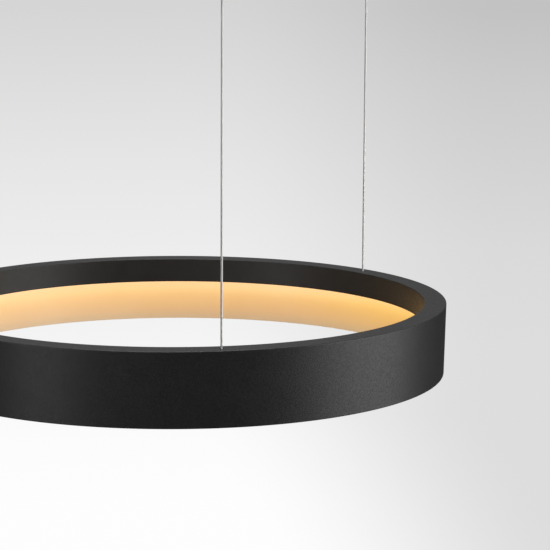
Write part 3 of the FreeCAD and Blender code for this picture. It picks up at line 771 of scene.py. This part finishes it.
def make_head(number, azimuth):
    """Ball cut flat above and below, with its stem and the wire's bore, turned as one."""
    ball = sphere_arc(head_ball_r, pivot_z, barrel_top_z, head_top_z, steps=24)
    outline = np.concatenate([
        [(wire_bore_r, stem_foot_z), (stem_r, stem_foot_z), (stem_r, barrel_top_z - head_joint)],
        ball,
        [(wire_bore_r + head_chamfer, head_top_z), (wire_bore_r, head_top_z - head_chamfer)],
    ])
    head = surface(f"grip_head_{number}", at_wire(turned(outline, small_steps), azimuth))
    settle(head, nickel, "satin_nickel", f"gripper_{number}", f"gripper_head_{number}")


def knurl(radius, height, angle):
    """Diamond knurl between two levels of the barrel.

    Two families of grooves cross: each is a triangle wave of knurl count times the angle, plus or
    minus the height times the same pitch; the lower of the two is the height of the diamond.
    """
    pitch = 2 * np.pi * barrel_r / knurl_count
    waves = [
        np.abs((knurl_count * angle / (2 * np.pi) + side * height / pitch) % 1 - 0.5) * 2
        for side in (-1, 1)
    ]
    inside = (height < knurl_top_z) & (height > knurl_foot_z) & (radius > barrel_r - skin)
    return radius - knurl_depth * inside * (1 - np.minimum(*waves))


def make_barrel(number, azimuth):
    """Turned body with the cone inside, a knurled grip and a turned line above and below it."""
    line = turned_line
    levels = np.linspace(knurl_foot_z, knurl_top_z, knurl_rows)
    grip = np.stack([0 * levels + barrel_r, levels], axis=1)
    outline = np.concatenate([
        [(nose_r, barrel_foot_z + nose_chamfer), (nose_r + nose_chamfer, barrel_foot_z),
         (barrel_r - barrel_chamfer, barrel_foot_z), (barrel_r, barrel_foot_z + barrel_chamfer),
         (barrel_r, knurl_foot_z - 3 * line), (barrel_r - line, knurl_foot_z - 2 * line),
         (barrel_r, knurl_foot_z - line)],
        grip,
        [(barrel_r, knurl_top_z + line), (barrel_r - line, knurl_top_z + 2 * line),
         (barrel_r, knurl_top_z + 3 * line),
         (barrel_r, barrel_top_z - mouth_chamfer), (barrel_r - mouth_chamfer, barrel_top_z),
         (barrel_bore_r, barrel_top_z), (barrel_bore_r, cone_top_z), (nose_r, nose_top_z)],
    ])
    grid = turned(outline, knurl_columns * knurl_count, knurl)
    body = surface(f"grip_barrel_{number}", at_wire(grid, azimuth))
    settle(body, nickel, "satin_nickel", f"gripper_{number}", f"gripper_barrel_{number}")


def make_sleeve(number, azimuth):
    """Release sleeve with a flange inside the barrel and a ribbed collar below it."""

    def ribs(radius, height, angle):
        """Grip ribs on the collar: a cosine of ridge count times the angle."""
        low, high = collar_foot_z + collar_rib_margin, collar_top_z - collar_rib_margin
        ribbed = (radius > collar_r - skin) & (height < high) & (height > low)
        return radius - collar_ridge_depth * ribbed * (1 + np.cos(collar_ridges * angle)) / 2

    chamfer = collar_chamfer
    levels = np.linspace(collar_foot_z + chamfer, collar_top_z - chamfer, collar_rows)
    rim = np.stack([0 * levels + collar_r, levels], axis=1)
    outline = np.concatenate([
        [(wire_bore_r, collar_foot_z + chamfer), (wire_bore_r + chamfer, collar_foot_z),
         (collar_r - chamfer, collar_foot_z)],
        rim,
        [(collar_r - chamfer, collar_top_z), (sleeve_r, collar_top_z),
         (sleeve_r, sleeve_top_z - sleeve_flange_t), (sleeve_flange_r, sleeve_top_z - sleeve_flange_t),
         (sleeve_flange_r, sleeve_top_z), (wire_bore_r, sleeve_top_z)],
    ])
    grid = turned(outline, collar_columns * collar_ridges, ribs)
    sleeve = surface(f"grip_sleeve_{number}", at_wire(grid, azimuth))
    settle(sleeve, nickel, "satin_nickel", f"release_{number}", f"release_sleeve_{number}")


def make_spring(number, azimuth):
    """Round wire carried along a helix.

    The centre line is (R cos t, R sin t, rise * t); the section's circle lies in the plane of the
    outward direction and the helix's binormal.
    """
    turn = 2 * np.pi * spring_turns
    t = np.linspace(0, turn, spring_rows * spring_turns + 1)[:, None]
    rise = (spring_top_z - spring_foot_z) / turn
    a = np.arange(spring_columns) * (2 * np.pi / spring_columns)
    slant = math.atan(rise / spring_mean_r)
    outward = spring_mean_r + spring_wire_r * np.cos(a)
    across = spring_wire_r * np.sin(a)
    x = outward * np.cos(t) + across * math.sin(slant) * np.sin(t)
    y = outward * np.sin(t) - across * math.sin(slant) * np.cos(t)
    z = spring_foot_z + rise * t + across * math.cos(slant)
    grid = np.stack([x, y, z], axis=2)
    coil = surface(f"grip_spring_{number}", at_wire(grid, azimuth), ends="poles")
    settle(coil, spring_steel, "wire_steel", None, f"gripper_spring_{number}")
    x, y = axis_place(azimuth)
    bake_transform(coil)


def side_screw():
    """Upright screw whose domed head ends in a hexagon socket; heights run up from the seat at zero.

    The dome's radius falls from the head's to that of the flat round the socket by a power of
    the share of its height.
    """
    dome = np.linspace(0, 1, side_dome_rows)
    head = np.stack([side_head_r - (side_head_r - side_flat_r) * dome**side_dome_power,
                     side_dome_foot + (side_head_t - side_dome_foot) * dome], axis=1)
    outline = np.concatenate([
        [(0, -side_screw_length), (side_screw_r - screw_chamfer, -side_screw_length),
         (side_screw_r, screw_chamfer - side_screw_length), (side_screw_r, 0), (side_head_r, 0)],
        head,
        [(side_key_r, side_head_t), (side_key_r, side_key_floor), (0, side_key_floor)],
    ])
    return turned(outline, hole_steps, keyed(side_key_r))


def grub_screw():
    """Upright headless screw with a hexagon socket in its top end; heights run up from its foot."""
    outline = [(0, 0), (grub_r - screw_chamfer, 0), (grub_r, screw_chamfer),
               (grub_r, grub_length - screw_chamfer), (grub_r - screw_chamfer, grub_length),
               (grub_key_r, grub_length), (grub_key_r, grub_key_floor), (0, grub_key_floor)]
    return turned(outline, hole_steps, keyed(grub_key_r))


# Rose


def make_rose():
    """Cup turned about the third wire, with holes for the gripper, the gland and the side screws."""
    outline = rounded([
        (rose_mouth_r, rose_foot_z), (rose_r, rose_foot_z), (rose_r, 0), (rose_inner_r, 0),
        (rose_inner_r, rose_foot_z + rose_wall_t), (rose_mouth_r, rose_foot_z + rose_wall_t),
    ], [0.4, 2 * rose_wall_t, 0.3, 0.3, rose_wall_t, 0.4], steps=8)
    cup = surface("rose_cup", turned(outline, rose_steps))
    gland = plug(gland_hole_r, rose_foot_z - through, rose_foot_z + rose_wall_t + through)
    gland = gland + np.array([*gland_offset, 0])
    side = laid(plug(side_hole_r, rose_inner_r - through, rose_r + through), side_screw_z)
    cut(cup, gland, turn_z(side, 90), turn_z(side, -90))
    cup.data.transform(place_matrix(rose_azimuth))
    settle(cup, coat, "black_coating", "root", "rose_cover")
    screw = laid(side_screw() + np.array([0, 0, rose_r]), side_screw_z)
    screws = surface("rose_cup_screws", *[at_wire(turn_z(screw, a), rose_azimuth) for a in (90, -90)])
    settle(screws, black_oxide, "black_screw", "root", "rose_screws")
    outline = rounded([
        (grommet_bore_r, grommet_foot_z), (grommet_flange_r, grommet_foot_z),
        (grommet_flange_r, plate_foot_z), (grommet_r, plate_foot_z), (grommet_r, 0), (grommet_bore_r, 0),
    ], [0.4, 0.4, 0.3, 0.1, 0.3, 0.3])
    sleeve = turned(outline, small_steps) + np.array([*grommet_place, 0])
    settle(surface("entry_sleeve", at_wire(sleeve, rose_azimuth)), rubber, "entry_rubber", "root",
           "entry_grommet")


make_housing()
make_liner()
make_cover()
make_glands()
for number, azimuth in enumerate(wire_azimuths, start=1):
    make_wire(number, azimuth)
    make_base(number, azimuth)
    make_cap(number, azimuth)
    make_head(number, azimuth)
    make_barrel(number, azimuth)
    make_sleeve(number, azimuth)
    make_spring(number, azimuth)
grub = laid(grub_screw() + np.array([0, 0, grub_tip_r]), grub_z)
settle(surface("cap_grub_screws", *[at_wire(grub, azimuth) for azimuth in wire_azimuths]),
       black_oxide, "black_screw", "root", "cap_screws")
make_rose()


# Stage: a round pale backdrop and floor in millimetres, then soft boxes and the camera in metres

floor_z = -3200.0
wall_r = 4000.0
curve_r = 1000.0
wall_top_z = 7000.0
floor_rows = 13
curve_rows = 17
wall_rows = 9

# Bearing in degrees, distance and height of each soft box, its width and height, its radiance
soft_boxes = {
    "right_box": (82, 1.9, -0.15, 1.65, 1.6, 2.9),
    "left_box": (-51, 1.9, -0.2, 0.7, 1.6, 1.9),
    "front_box": (-14, 2.6, 0.75, 1.2, 0.8, 3.6),
    "top_box": (0, 0.27, 1.2, 1.2, 0.5, 9.0),
}
lamp_middle = (0, 0, -0.3)

# Strength of the world as the camera and mirrors see it, and in the light that it casts
world_seen = 0.62
world_cast = 0.05

# Camera from the fit to the ring's edges
camera_sensor = 36.0
camera_lens = 139.392
camera_place = Vector((-0.240659, -1.537834, -0.003031))
camera_right = Vector((0.979774, -0.200019, 0.005861))
camera_up = Vector((0.027258, 0.162424, 0.986344))
camera_forward = Vector((0.198240, 0.966235, -0.164591))


def make_stage():
    """Floor, quarter-round curve and wall in one turned sheet, like a bowl."""
    flat = np.linspace(0.0, wall_r - curve_r, floor_rows)[:-1]
    bend = np.linspace(0, np.pi / 2, curve_rows)
    rise = np.linspace(floor_z + curve_r, wall_top_z, wall_rows)[1:]
    radius = np.concatenate([flat, wall_r - curve_r + curve_r * np.sin(bend), 0 * rise + wall_r])
    height = np.concatenate([0 * flat + floor_z, floor_z + curve_r * (1 - np.cos(bend)), rise])
    grid = turned(np.stack([radius, height], axis=1), base_steps)
    sheet = surface("backdrop", grid, ends="open")
    sheet.data.shade_smooth()
    sheet.data.materials.append(backdrop_material())
    sheet.visible_diffuse = False
    sheet.visible_shadow = False


def backdrop_material():
    """Pale paper: a shaded floor under the lamp, and farther out a sheet with its own light.

    The camera sees that sheet as a soft gradient, which rises to the world's grey. Mirrors see
    it dim, but brighter in the middle behind the lamp and high up.
    """
    material = bpy.data.materials.new("backdrop_paper")
    material.use_nodes = True
    tree = material.node_tree
    tree.nodes.clear()
    point = node(tree, "TexCoord")["Object"]
    part = node(tree, "SeparateXYZ", {"Vector": point})
    sideways = to_the_right(tree, point)
    seen = node(tree, "LightPath")["Is Camera Ray"]

    # Gradient: greys down the left and down the right side, blended across a line that leans low down
    fall = mapped(tree, part["Z"], -0.2, -1.55)
    lean = mapped(tree, part["Z"], -1.3, -1.7, 0.0, -0.22)
    across = mapped(tree, calculated(tree, "ADD", sideways, lean), -0.154, 0.693, kind="SMOOTHSTEP")
    left = grey_ramp(tree, fall, (0.02, 0.665), (0.32, 0.79), (0.87, 0.97), (1.0, 0.985))
    right = grey_ramp(tree, fall, (0.02, 0.54), (0.17, 0.604), (0.48, 0.70), (0.67, 0.723))
    rise = mapped(tree, part["Z"], 0.4, 3.0)
    paper = blend_colours(tree, rise, blend_colours(tree, across, left, right), (world_seen,) * 3)

    # Strength in mirrors: dim, but brighter behind the lamp, about a line left of it, and high up
    behind = mapped(tree, part["Y"], 1.0, 3.0)
    aside = calculated(tree, "ABSOLUTE", calculated(tree, "ADD", sideways, 0.3))
    middle = mapped(tree, aside, 0.7, 1.5, 1.0, 0.0)
    low = mapped(tree, calculated(tree, "MULTIPLY", behind, middle), 0.0, 1.0, 0.04, 0.46)
    high = mapped(tree, part["Z"], 0.6, 2.6, 0.0, 0.6)
    mirrored = calculated(tree, "MAXIMUM", low, high)
    strength = node(tree, "Mix", {0: seen, 2: mirrored, 3: 1.0})[0]
    glow = node(tree, "Emission", {"Color": paper, "Strength": strength})[0]

    # Floor: takes shadows, and is lifted by a light of its own that the camera sees strongest
    shade = node(tree, "BsdfDiffuse", {"Color": (0.86, 0.86, 0.86, 1)})[0]
    pale = mapped(tree, seen, 0.0, 1.0, 0.04, 0.62)
    lift = node(tree, "Emission", {"Color": (1, 1, 1, 1), "Strength": pale})[0]
    ground = node(tree, "AddShader", {0: shade, 1: lift})[0]
    level = node(tree, "VectorMath", {0: point, 1: (1, 1, 0)}, operation="MULTIPLY")[0]
    reach = node(tree, "VectorMath", {0: level}, operation="LENGTH")["Value"]
    out = mapped(tree, reach, 1.6, 3.4, kind="SMOOTHSTEP")
    mixed = node(tree, "MixShader", {0: out, 1: ground, 2: glow})[0]
    node(tree, "OutputMaterial", {"Surface": mixed})
    return material


def softbox(name, place, aim, width, height, radiance):
    """Area light of a given size; its power is pi times radiance times area."""
    lamp = bpy.data.lights.new(name, "AREA")
    lamp.shape = "RECTANGLE"
    lamp.size = width
    lamp.size_y = height
    lamp.energy = math.pi * radiance * width * height
    holder = bpy.data.objects.new(name, lamp)
    holder.location = place
    holder.rotation_euler = (Vector(place) - Vector(aim)).to_track_quat("Z", "Y").to_euler()
    holder.visible_camera = False
    bpy.context.scene.collection.objects.link(holder)


def beside(bearing, distance, height):
    """Place at a bearing from the lamp, in degrees to the right of the direction towards the camera."""
    turn = math.radians(bearing)
    right, back = Vector((0.980, -0.199, 0)), Vector((-0.199, -0.980, 0))
    return (right * math.sin(turn) + back * math.cos(turn)) * distance + Vector((0, 0, height))


def make_lights():
    """Soft boxes at both sides, in front and overhead, and an even dim world."""
    for name, (bearing, distance, height, wide, tall, radiance) in soft_boxes.items():
        softbox(name, beside(bearing, distance, height), lamp_middle, wide, tall, radiance)
    world = bpy.data.worlds.new("studio")
    world.use_nodes = True
    tree = world.node_tree
    path = node(tree, "LightPath")
    seen = calculated(tree, "MAXIMUM", path["Is Camera Ray"], path["Is Glossy Ray"])
    strength = mapped(tree, seen, 0.0, 1.0, world_cast, world_seen)
    background = tree.nodes["Background"]
    background.inputs["Color"].default_value = (0.99, 0.99, 1.0, 1)
    tree.links.new(strength, background.inputs["Strength"])
    bpy.context.scene.world = world


def make_camera():
    """Camera at its place, turned by its right, up and forward directions."""
    camera = bpy.data.cameras.new("camera")
    camera.sensor_width = camera_sensor
    camera.lens = camera_lens
    camera.clip_start, camera.clip_end = 0.05, 50.0
    holder = bpy.data.objects.new("camera", camera)
    turn = Matrix((camera_right, camera_up, -camera_forward)).transposed().to_4x4()
    holder.matrix_world = Matrix.Translation(camera_place) @ turn
    bpy.context.scene.collection.objects.link(holder)
    bpy.context.scene.camera = holder


make_stage()
make_lights()
make_camera()
bpy.context.scene.view_settings.view_transform = "Standard"
